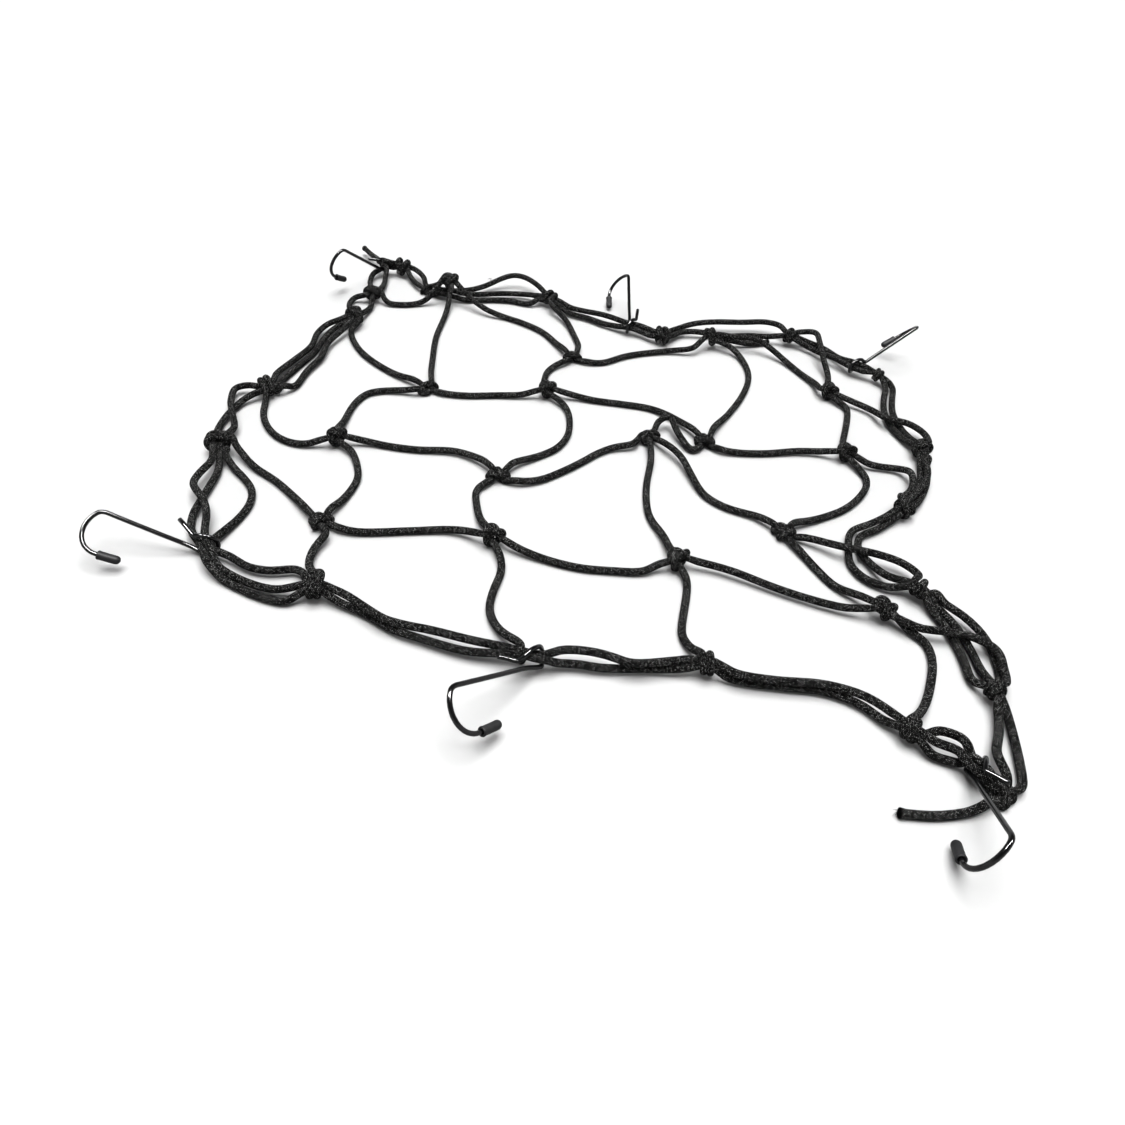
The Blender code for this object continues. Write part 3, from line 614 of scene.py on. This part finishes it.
def tie_all():
    """Every cord of the net as one line of points, following it from knot to knot."""
    links = []
    for name in BENDS:
        tie_bend(name, links)
    for name in HITCHES:
        tie_hitch(name, links)
    for name in EYES:
        tie_eye(name, links)
    used = {}
    for number, (one, _, two) in enumerate(links):
        for port, end in ((one, 0), (two, 1)):
            if port:
                used[port] = (number, end)
    cords, done = [], set()

    def walk(number, end):
        """Leaves the link at this end and collects points until the cord stops or comes round."""
        line = []
        while True:
            port = links[number][2 if end else 0]
            if port is None:
                return line, False
            index, side = port
            via = via_of(STRANDS[index])
            line += via if side == 0 else via[::-1]
            other = (index, 1 - side)
            if other not in used:
                return line, False
            number, came = used[other]
            if number in done:
                return line, True
            done.add(number)
            inner = links[number][1]
            line += inner if came == 0 else inner[::-1]
            end = 1 - came

    for number, (one, inner, two) in enumerate(links):
        if number in done:
            continue
        done.add(number)
        ahead, closed = walk(number, 1)
        behind, _ = ([], True) if closed else walk(number, 0)
        cords.append((behind[::-1] + inner + ahead, closed))
    return cords


# ---------------------------------------------------------------- pulling them tight

def close_pairs(points, reach):
    """Index pairs of points nearer than reach."""
    order = np.argsort(points[:, 0])
    ranked = points[order]
    found = []
    for k in range(1, len(points)):
        gap = ranked[k:] - ranked[:-k]
        near = gap[:, 0] < reach
        if not near.any():
            break
        near &= (gap**2).sum(axis=1) < reach**2
        at = np.nonzero(near)[0]
        found.append(np.stack([order[at], order[at + k]], axis=1))
    return np.vstack(found)


def within(distance, reach):
    """1 up to the reach, falling to 0 at twice the reach."""
    return np.clip(2 - distance / reach, 0, 1)


def beyond(distance, start, run):
    """0 up to the start, rising to 1 over the run after it."""
    return np.clip((distance - start) / run, 0, 1)


def pull_tight(lines, closed):
    """The cords' points after shortening, pushed clear of each other, the wires and the floor, and the radius
    to draw at each. In a knot it is more than they were kept apart by, so the turns press into each other."""
    knots = np.array([spot(name)[:2] for name in (*BENDS, *HITCHES)])
    eyes = np.array([spot(name) for name in EYES])
    points = np.vstack(lines)
    cord = np.concatenate([np.full(len(line), k) for k, line in enumerate(lines)])
    index = np.arange(len(points))
    before, after = index - 1, index + 1
    ends = np.zeros(len(points), bool)
    start = 0
    for line, loop in zip(lines, closed):
        stop = start + len(line)
        if loop:
            before[start], after[stop - 1] = stop - 1, start
        else:
            before[start], after[stop - 1] = start, stop - 1
            ends[[start, stop - 1]] = True
        start = stop
    wires = np.vstack([smooth(hook_line(hook), 1.0) for hook in HOOKS.values()])
    from_knot = np.sqrt(((points[:, None, :2] - knots) ** 2).sum(axis=2)).min(axis=1)
    from_eye = np.sqrt(((points[:, None] - eyes) ** 2).sum(axis=2)).min(axis=1)
    girths = np.array([KNOT_CORD_R] * len(BENDS) + [hitch.girth for hitch in HITCHES.values()])
    nearest = ((points[:, None, :2] - knots) ** 2).sum(axis=2).argmin(axis=1)
    radius = CORD_R - (CORD_R - girths[nearest]) * within(from_knot, THIN_REACH)
    crown = np.sqrt(((points - spot(CROWN)) ** 2).sum(axis=1)) < CROWN_REACH
    radius[crown] = np.maximum(radius[crown], CROWN_CORD_R)
    radius = np.minimum(radius, EYE_CORD_R + (CORD_R - EYE_CORD_R) * beyond(from_eye, *EYE_NARROW))
    edge = nearest >= len(BENDS)
    edge_hold = EDGE_HOLD * beyond(from_knot, *EDGE_FREE)
    mesh_hold = MESH_HOLD * beyond(from_knot, *MESH_FREE)
    hold = np.where(edge, edge_hold, mesh_hold)[:, None]
    # whole up to 4 mm from an eye and gone at 12 mm
    hold = np.maximum(hold, EYE_HOLD * np.clip(1.5 - from_eye / 8, 0, 1)[:, None])
    hold[ends] = 1
    own_knot = np.where(from_knot < KNOT_REACH, nearest, -1)
    in_knot = [np.nonzero(own_knot == k)[0] for k in range(len(knots))]
    knot_home = [points[group].mean(axis=0) for group in in_knot]
    home = points.copy()
    both = np.vstack([points, wires])
    size = np.concatenate([radius, np.full(len(wires), WIRE_R)])
    moves = np.concatenate([~ends, np.zeros(len(wires), bool)])
    number = len(points)
    lengths = np.array([len(line) for line in lines])
    loops = np.array(closed)
    for turn in range(ROUNDS):
        shorten = SHORTEN if turn < ROUNDS - GENTLE_ROUNDS else SHORTEN_GENTLY
        points = both[:number]
        middle = (points[before] + points[after]) / 2
        step = (middle - points) * shorten * ~ends[:, None]
        points = points + step
        points = points + (home - points) * hold
        both[:number] = points
        if turn % PAIR_EVERY == 0:
            pairs = close_pairs(both, PAIR_REACH)
            one, two = pairs[:, 0], pairs[:, 1]
            wire = (one >= number) & (two >= number)
            apart = np.abs(one - two)
            same = (one < number) & (two < number)
            same[same] = cord[one[same]] == cord[two[same]]
            span = apart.copy()
            round_trip = same.copy()
            round_trip[same] = loops[cord[one[same]]]
            other_way = lengths[cord[one[round_trip]]] - apart[round_trip]
            span[round_trip] = np.minimum(apart[round_trip], other_way)
            keep = ~wire & ~(same & (span <= NEIGHBOURS))
            one, two = one[keep], two[keep]
            reach = size[one] + size[two]
        for _ in range(PUSHES):
            gap = both[one] - both[two]
            far = np.linalg.norm(gap, axis=1)
            hit = far < reach
            way = gap[hit] / np.maximum(far[hit], 1e-6)[:, None]
            push = way * ((reach[hit] - far[hit]) * 0.5)[:, None]
            shift = np.zeros_like(both)
            count = np.zeros(len(both))
            np.add.at(shift, one[hit], push)
            np.add.at(shift, two[hit], -push)
            np.add.at(count, one[hit], 1)
            np.add.at(count, two[hit], 1)
            both += shift / np.maximum(count, 1)[:, None] * PUSH * moves[:, None]
            low = both[:number, 2] < size[:number]
            both[:number, 2][low] = size[:number][low]
        for group, place in zip(in_knot, knot_home):
            stray = (place - both[group].mean(axis=0)) * KNOT_PULL
            stray[2] = stray[2] if place[2] > RAISED else -SINK
            both[group] += stray
    swell = SWELL * within(from_knot, THIN_REACH)
    heart = HEART_SWELL * within(from_knot, HEART_REACH)
    plump = radius * (1 + swell + heart * ~edge)
    plump[crown] *= CROWN_SWELL
    cuts = np.cumsum(lengths)[:-1]
    return np.split(both[:number], cuts), np.split(plump, cuts)


# ---------------------------------------------------------------- tubes

def rounded(line, radius):
    """The line after two light smoothings, with twice the points."""
    for _ in range(2):
        middle = line[:-2] * 0.25 + line[1:-1] * 0.5 + line[2:] * 0.25
        line = np.vstack([line[:1], middle, line[-1:]])
    fine = smooth(line, STEP / 2)
    at = np.concatenate([[0], np.cumsum(np.linalg.norm(np.diff(line, axis=0), axis=1))])
    along = np.concatenate([[0], np.cumsum(np.linalg.norm(np.diff(fine, axis=0), axis=1))])
    return fine, np.interp(along * at[-1] / along[-1], at, radius)


def thin_out(line, most_turn=radians(7), most_run=4.5):
    """Indices of the points a tube needs: close together only where the cord bends."""
    keep = [0]
    going = line[1] - line[0]
    run = 0.0
    for k in range(1, len(line) - 1):
        ahead = line[k + 1] - line[k]
        run += np.linalg.norm(line[k] - line[k - 1])
        cosine = going.dot(ahead) / (np.linalg.norm(going) * np.linalg.norm(ahead) + 1e-12)
        if cosine < cos(most_turn) or run > most_run:
            keep.append(k)
            going = ahead
            run = 0.0
    return [*keep, len(line) - 1]


def tube(line, radius, sides=SIDES):
    """Vertices, faces and UVs (turns, metres along) of a round closed tube."""
    line = np.asarray(line, float)
    radius = np.broadcast_to(radius, len(line))
    tangent = np.gradient(line, axis=0)
    tangent /= np.linalg.norm(tangent, axis=1)[:, None]
    normals = [unit(np.cross(tangent[0], ASKEW))]
    for k in range(1, len(line)):
        last = normals[-1]
        turned = last - tangent[k] * last.dot(tangent[k])
        normals.append(unit(turned))
    normals = np.array(normals)
    sideways = np.cross(tangent, normals)
    angles = tau * np.arange(sides) / sides
    outwards = normals[:, None] * np.cos(angles)[:, None] + sideways[:, None] * np.sin(angles)[:, None]
    rings = line[:, None] + radius[:, None, None] * outwards
    along = np.concatenate([[0], np.cumsum(np.linalg.norm(np.diff(line, axis=0), axis=1))]) * MM
    points = rings.reshape(-1, 3)
    rows, turns = np.meshgrid(np.arange(len(line) - 1), np.arange(sides), indexing="ij")
    a = rows * sides + turns
    b = rows * sides + (turns + 1) % sides
    faces = np.stack([a, b, b + sides, a + sides], axis=-1).reshape(-1, 4)
    u0, u1 = turns / sides, (turns + 1) / sides
    v0, v1 = along[rows], along[rows + 1]
    corners = [np.stack(pair, -1) for pair in ((u0, v0), (u1, v0), (u1, v1), (u0, v1))]
    uvs = np.stack(corners, axis=2).reshape(-1, 4, 2)
    start = line[0] - tangent[0] * radius[0] * END_DOME
    end = line[-1] + tangent[-1] * radius[-1] * END_DOME
    points = np.vstack([points, start, end])
    first, last, base = len(points) - 2, len(points) - 1, (len(line) - 1) * sides
    caps, cap_uvs = [], []
    for k in range(sides):
        n = (k + 1) % sides
        caps += [(first, n, k), (last, base + k, base + n)]
        cap_uvs += [[(0, 0)] * 3, [(0, along[-1])] * 3]
    return points, faces, uvs, caps, cap_uvs


# The cap's outline from inside its mouth round to its tip: along the wire and out from it
CAP_PROFILE = [
    (8, 0), (8, 1.42), (1.2, 1.42), (0.25, 1.55), (0, 1.75), (-0.05, 2.05), (0.1, 2.35), (0.45, 2.52),
    (0.9, 2.5), (1.5, 2.38), (2.6, 2.34), (5.5, 2.34), (8.5, 2.36), (9.8, 2.34), (10.5, 2.2), (11.1, 1.9),
    (11.55, 1.48), (11.85, 0.95), (11.98, 0.45), (12, 0),
]


def make_cap(name, hook, material):
    """The vinyl cap on the hook's point, turned round the wire, its tip bent up a little."""
    eye, shank, throat, _ = hook_frame(hook)
    mouth = eye + shank * (SHANK + ARC[0][0]) + throat * THROAT
    third = np.cross(-shank, throat)
    shape = bmesh.new()
    outline = [shape.verts.new((along, out, 0)) for along, out in CAP_PROFILE]
    outline += [shape.edges.new(pair) for pair in zip(outline, outline[1:])]
    bmesh.ops.spin(shape, geom=outline, axis=(1, 0, 0), angle=tau, steps=28, use_merge=True)
    bmesh.ops.remove_doubles(shape, verts=shape.verts, dist=0.001)
    bmesh.ops.recalc_face_normals(shape, faces=shape.faces)
    for vert in shape.verts:
        lift = CAP_BEND * max(vert.co.x, 0) ** 2
        place = mouth - shank * vert.co.x + throat * vert.co.y + third * vert.co.z
        vert.co = (place + np.array((0, 0, lift))) * MM
    mesh = bpy.data.meshes.new(name)
    shape.to_mesh(mesh)
    shape.free()
    return finished(name, mesh, material)


def hairs(spots, seed):
    """Loose fibres round the given (place, direction, count, length) spots."""
    rng = np.random.default_rng(seed)
    found = []
    for place, direction, count, length in spots:
        for _ in range(count):
            way = unit(np.asarray(direction, float) + rng.normal(0, 0.45, 3))
            start = np.asarray(place, float) + rng.normal(0, 0.7, 3)
            reach = length * rng.uniform(0.5, 1.2)
            curl = rng.normal(0, 0.35, 3)
            line = [start + way * reach * t + curl * reach * t * t for t in (0, 0.25, 0.5, 0.75, 1)]
            line = [np.array((p[0], p[1], max(p[2], FIBRE_CLEAR))) for p in line]
            found.append(tube(line, np.linspace(FIBRE_R, FIBRE_TIP_R, len(line)), FIBRE_SIDES))
    return found


def make_piece(name, tubes, material):
    mesh = bpy.data.meshes.new(name)
    points, faces, uvs = [], [], []
    for got, quads, quad_uvs, caps, cap_uvs in tubes:
        base = sum(len(p) for p in points)
        points.append(got)
        faces += [tuple(int(v) + base for v in quad) for quad in quads]
        uvs += [pair for quad in quad_uvs for pair in quad]
        faces += [tuple(int(v) + base for v in cap) for cap in caps]
        uvs += [pair for cap in cap_uvs for pair in cap]
    mesh.from_pydata((np.vstack(points) * MM).tolist(), [], faces)
    layer = mesh.uv_layers.new(name="cord")
    layer.data.foreach_set("uv", np.array(uvs, dtype=np.float32).ravel())
    return finished(name, mesh, material)


def finished(name, mesh, material):
    mesh.polygons.foreach_set("use_smooth", [True] * len(mesh.polygons))
    mesh.materials.append(material)
    piece = bpy.data.objects.new(name, mesh)
    bpy.context.scene.collection.objects.link(piece)
    return piece


# ---------------------------------------------------------------- materials

class Value:
    """A node's output, which takes part in sums, so that a pattern reads as a formula."""

    def __init__(self, finish, socket):
        self.finish, self.socket = finish, socket

    def math(self, operation, *others, swap=False):
        return self.finish.node("Math", (*others, self) if swap else (self, *others), operation=operation)

    def __add__(self, other):
        return self.math("ADD", other)

    def __radd__(self, other):
        return self.math("ADD", other, swap=True)

    def __sub__(self, other):
        return self.math("SUBTRACT", other)

    def __rsub__(self, other):
        return self.math("SUBTRACT", other, swap=True)

    def __mul__(self, other):
        return self.math("MULTIPLY", other)

    def __rmul__(self, other):
        return self.math("MULTIPLY", other, swap=True)

    def __abs__(self):
        return self.math("ABSOLUTE")

    def __floor__(self):
        return self.math("FLOOR")

    def fraction(self):
        return self.math("FRACT")

    def sine(self):
        return self.math("SINE")

    def most(self, other):
        return self.math("MAXIMUM", other)

    def above(self, low, high):
        """0 below low, 1 above high, smooth between."""
        ends = {"Value": self, "From Min": low, "From Max": high}
        return self.finish.node("MapRange", ends, interpolation_type="SMOOTHSTEP")


class Finish:
    """A material with one Principled shader: constants on its sockets, patterns linked in."""

    def __init__(self, name, **constants):
        self.material = bpy.data.materials.new(name)
        self.material.use_nodes = True
        self.tree = self.material.node_tree
        self.shader = self.tree.nodes["Principled BSDF"]
        for socket, value in constants.items():
            self.shader.inputs[socket.replace("_", " ")].default_value = value

    def node(self, kind, sockets=(), out=0, stops=(), **settings):
        """A new node's output. Its settings and ramp stops come first, then its sockets are filled or linked,
        by name or in order."""
        node = self.tree.nodes.new("ShaderNode" + kind)
        for name, value in settings.items():
            setattr(node, name, value)
        for number, (position, colour) in enumerate(stops):
            ramp = node.color_ramp.elements
            if number == len(ramp):
                ramp.new(position)
            ramp[number].position, ramp[number].color = position, (*colour, 1)
        pairs = sockets.items() if isinstance(sockets, dict) else enumerate(sockets)
        for name, value in pairs:
            self.fill(node.inputs[name], value)
        return Value(self, node.outputs[out])

    def fill(self, slot, value):
        if isinstance(value, Value):
            self.tree.links.new(value.socket, slot)
        else:
            slot.default_value = value

    def set(self, socket, value):
        self.fill(self.shader.inputs[socket], value)

    def noise(self, scale, detail=3.0, roughness=0.6):
        where = self.node("TexCoord", out="Object")
        sockets = {"Vector": where, "Scale": scale, "Detail": detail, "Roughness": roughness}
        return self.node("TexNoise", sockets)

    def colours(self, value, *stops):
        """Base Color runs through the given (position, colour) stops."""
        self.set("Base Color", self.node("ValToRGB", [value], stops=stops))

    def bump(self, value, distance, strength=1.0):
        self.set("Normal", self.node("Bump", {"Height": value, "Distance": distance, "Strength": strength}))


def grey(position, value, blue=1.0):
    return position, (value, value, value * blue)


def braid_finish():
    """A tubular braid: two families of yarns, running right and left round the cord, over and under. Its
    colour is lighter on the yarns' crowns and darker in the gaps: painted sheen and painted shade.
    """
    finish = Finish("braided_cord", Specular_IOR_Level=0.012)
    laid_flat = finish.node("TexCoord", out="UV")
    around, along = (finish.node("SeparateXYZ", [laid_flat], out=axis) for axis in "XY")
    right = around * YARNS_AROUND + along * YARNS_ALONG
    left = around * YARNS_AROUND - along * YARNS_ALONG
    crown = lambda yarn: abs((yarn * pi).sine())
    over = ((floor(right) + floor(left)) * 0.5).fraction() * 2
    rise = crown(right) * 0.62 + crown(left) * over * 0.38
    fall = crown(left) * 0.62 + crown(right) * (1 - over) * 0.38
    height = (rise * (0.45 + over * 0.55)).most(fall * (1 - over * 0.55))
    own = ((floor(right) * 12.9898 + floor(left) * 78.233).sine() * 437.585).fraction()
    fibre = finish.noise(4200, 2.0, 0.7)
    wear = finish.noise(60, 3.0)
    # painted sheen on the yarns' crowns and painted shade in the gaps between them, from height; own, fibre
    # and wear vary the tone at random
    shade = height.above(0.45, 0.95) * 0.55 + own * 0.38 + fibre * 0.14 + wear * 0.06 - 0.185
    dark = grey(0, 0.001), grey(0.3, 0.0035), grey(0.5, 0.015, 0.98)
    finish.colours(shade, *dark, grey(0.72, 0.1, 0.98), grey(0.95, 0.42, 0.98))
    finish.set("Roughness", 0.55 + fibre * 0.35)
    finish.bump(height + fibre * 0.3, 0.0004)
    return finish.material


def wire_finish():
    """Black paint on steel wire, glossy, with faint orange peel and dull specks."""
    finish = Finish("painted_wire", Specular_IOR_Level=0.32)
    peel = finish.noise(900, 2.0)
    wear = finish.noise(160, 4.0, 0.7)
    finish.colours(wear, grey(0.3, 0.003, 1.07), grey(0.62, 0.006, 1.07), grey(0.8, 0.03, 1.03))
    finish.set("Roughness", 0.05 + wear * 0.14)
    finish.bump(peel, 0.00002, 0.5)
    return finish.material


def cap_finish():
    """Soft black vinyl, matt, dusty in patches."""
    finish = Finish("vinyl_cap", Specular_IOR_Level=0.12)
    grain = finish.noise(2600, 3.0)
    dust = finish.noise(220, 4.0, 0.65)
    shade = dust * 0.7 + grain * 0.3
    finish.colours(shade, grey(0.3, 0.012, 1.05), grey(0.6, 0.022, 1.05), grey(0.85, 0.045, 1.03))
    finish.set("Roughness", 0.38 + dust * 0.25)
    finish.bump(grain, 0.00012, 0.6)
    return finish.material


def floor_finish():
    finish = Finish("pale_floor", Roughness=0.7, Specular_IOR_Level=0.2)
    finish.colours(finish.noise(3, 2.0), grey(0.3, 0.388), grey(0.7, 0.4))
    return finish.material


# ---------------------------------------------------------------- the scene

cord_material = braid_finish()
wire_material = wire_finish()
cap_material = cap_finish()
floor_material = floor_finish()

cords = tie_all()
closed = [loop for _, loop in cords]
lines = []
for line, loop in cords:
    if loop:
        lines.append(smooth([*line, line[0]], STEP)[:-1])
    else:
        lines.append(smooth(line, STEP))
parts, sizes = pull_tight(lines, closed)
tubes, frayed = [], []
for line, radius, loop in zip(parts, sizes, closed):
    if loop:
        line, radius = np.vstack([line, line[:1]]), np.append(radius, radius[0])
    line, radius = rounded(line, radius)
    if not loop:
        for end, inwards in ((0, 1), (-1, -1)):
            if np.linalg.norm(line[end][:2] - spot(nearest_knot(line[end]))[:2]) > CUT_CLEAR:
                away = np.linalg.norm(line - line[end], axis=1)
                radius = radius * (1 + CUT_SWELL * np.exp(-((away / CUT_STRETCH) ** 2)))
                outwards = line[end] - line[end + 4 * inwards]
                frayed.append((line[end], outwards, CUT_FIBRES, CUT_FIBRE_LENGTH))
    line[:, 2] = np.maximum(line[:, 2], radius)
    keep = thin_out(line)
    tubes.append(tube(line[keep], radius[keep]))
net = make_piece("net_cords", tubes, cord_material)
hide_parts("net")
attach(net, "root")

# Two more fluffy spots, by a knot at the right and a bundle at the back
frayed += [
    (spot("R4") + (8, 12, 1), (1, 0.3, 0.4), 10, 1.6),
    (spot("B2") + (-52, 28, 1), (-0.4, -0.3, -0.2), 6, 2.6),
]
fluff = make_piece("loose_fibres", hairs(frayed, 7), cord_material)
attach(fluff, "root")

for name, hook in HOOKS.items():
    line = smooth(hook_line(hook), step=0.5)
    keep = thin_out(line, most_turn=radians(8), most_run=6)
    wire = make_piece("wire_" + name, [tube(line[keep], WIRE_R)], wire_material)
    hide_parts("hook_" + name)
    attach(wire, "root")
    cap = make_cap("tip_" + name, hook, cap_material)
    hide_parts("cap_" + name)
    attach(cap, "root")

bpy.ops.mesh.primitive_plane_add(size=8)
ground = bpy.context.object
ground.name = "floor"
ground.data.materials.append(floor_material)

camera = bpy.data.objects.new("camera", bpy.data.cameras.new("camera"))
bpy.context.scene.collection.objects.link(camera)
camera.data.sensor_width = 36
camera.data.lens = LENS
eye_at = (np.array(CAMERA_AT) - CENTRE) * MM
tilt = Matrix.Rotation(radians(90 - LOOKS_DOWN), 4, "X")
roll = Matrix.Rotation(radians(ROLL), 4, "Z")
camera.matrix_world = Matrix.Translation(eye_at) @ tilt @ roll
bpy.context.scene.camera = camera

world = bpy.data.worlds.new("studio")
bpy.context.scene.world = world
world.use_nodes = True
sky = world.node_tree.nodes
# Pale near the horizon and dark overhead
way = sky.new("ShaderNodeTexCoord")
height = sky.new("ShaderNodeSeparateXYZ")
band = sky.new("ShaderNodeMapRange")
for socket, value in {"From Min": 0.28, "From Max": 0.5, "To Min": 1.6, "To Max": 0.08}.items():
    band.inputs[socket].default_value = value
sky["Background"].inputs["Color"].default_value = (1, 1, 1, 1)
join = world.node_tree.links.new
join(way.outputs["Generated"], height.inputs[0])
join(height.outputs["Z"], band.inputs["Value"])
join(band.outputs[0], sky["Background"].inputs["Strength"])
bpy.context.scene.view_settings.view_transform = "Standard"
bpy.context.scene.view_settings.gamma = 0.85

# A broad ceiling and two boxes of light behind the net, and strips of light that only gloss shows: energy,
# and width, tilt to the back and tilt to the left in degrees
Light = namedtuple("Light", "energy width back left gloss")
LIGHTS = {
    "ceiling": Light(6.0, 58, 4, 0, False), "near_box": Light(0.8, 24, 24, -3, False),
    "far_box": Light(0.4, 26, 42, 4, False),
    "strip_left": Light(9, 14, -4, 24, True), "strip": Light(9, 14, -6, 2, True),
    "strip_right": Light(9, 14, -4, -20, True),
}
for name, light in LIGHTS.items():
    lamp = bpy.data.objects.new(name, bpy.data.lights.new(name, "SUN"))
    lamp.data.energy = light.energy
    lamp.data.angle = radians(light.width)
    lamp.rotation_euler = (radians(-light.back), radians(-light.left), 0)
    lamp.visible_diffuse, lamp.visible_glossy = not light.gloss, light.gloss
    bpy.context.scene.collection.objects.link(lamp)
